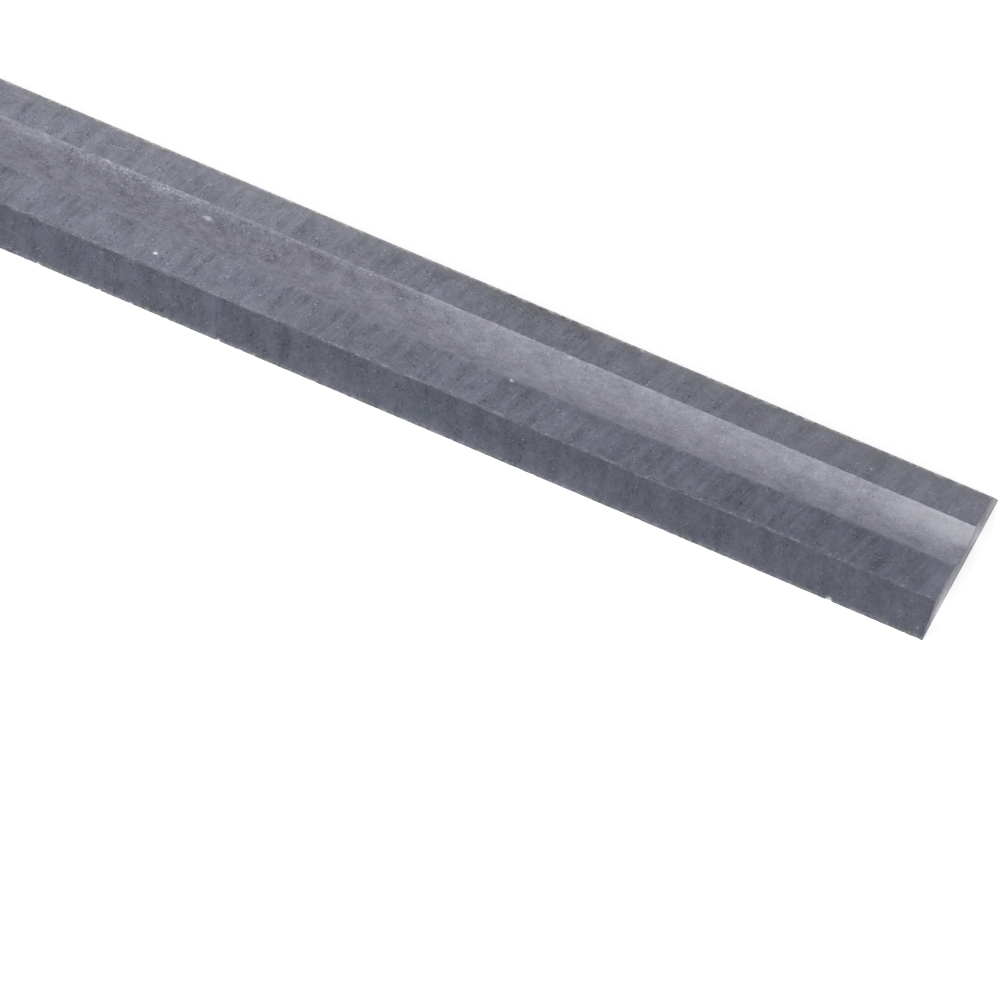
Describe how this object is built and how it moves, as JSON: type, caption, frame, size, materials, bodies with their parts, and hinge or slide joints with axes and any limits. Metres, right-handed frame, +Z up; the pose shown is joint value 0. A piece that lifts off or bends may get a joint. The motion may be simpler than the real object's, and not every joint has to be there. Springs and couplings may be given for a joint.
{
  "type": "planer knife",
  "caption": "Straight reversible planer knife of cemented carbide: trapezoid section, a ground bevel and cutting edge along each long side, and a shallow locating groove in the narrow face.",
  "frame": {"origin": "middle of the wide flat face that the knife lies on", "axes": "+X along the knife, +Y across it from one cutting edge to the other, +Z up out of the grooved face"},
  "size_m": [0.082, 0.0054, 0.0011],
  "materials": {
    "ground_carbide": "cemented carbide, ground across on the flats and bevels, matt as sintered in the groove"
  },
  "bodies": {
    "root": {"planer_knife": "ground_carbide"}
  },
  "joints": []
}
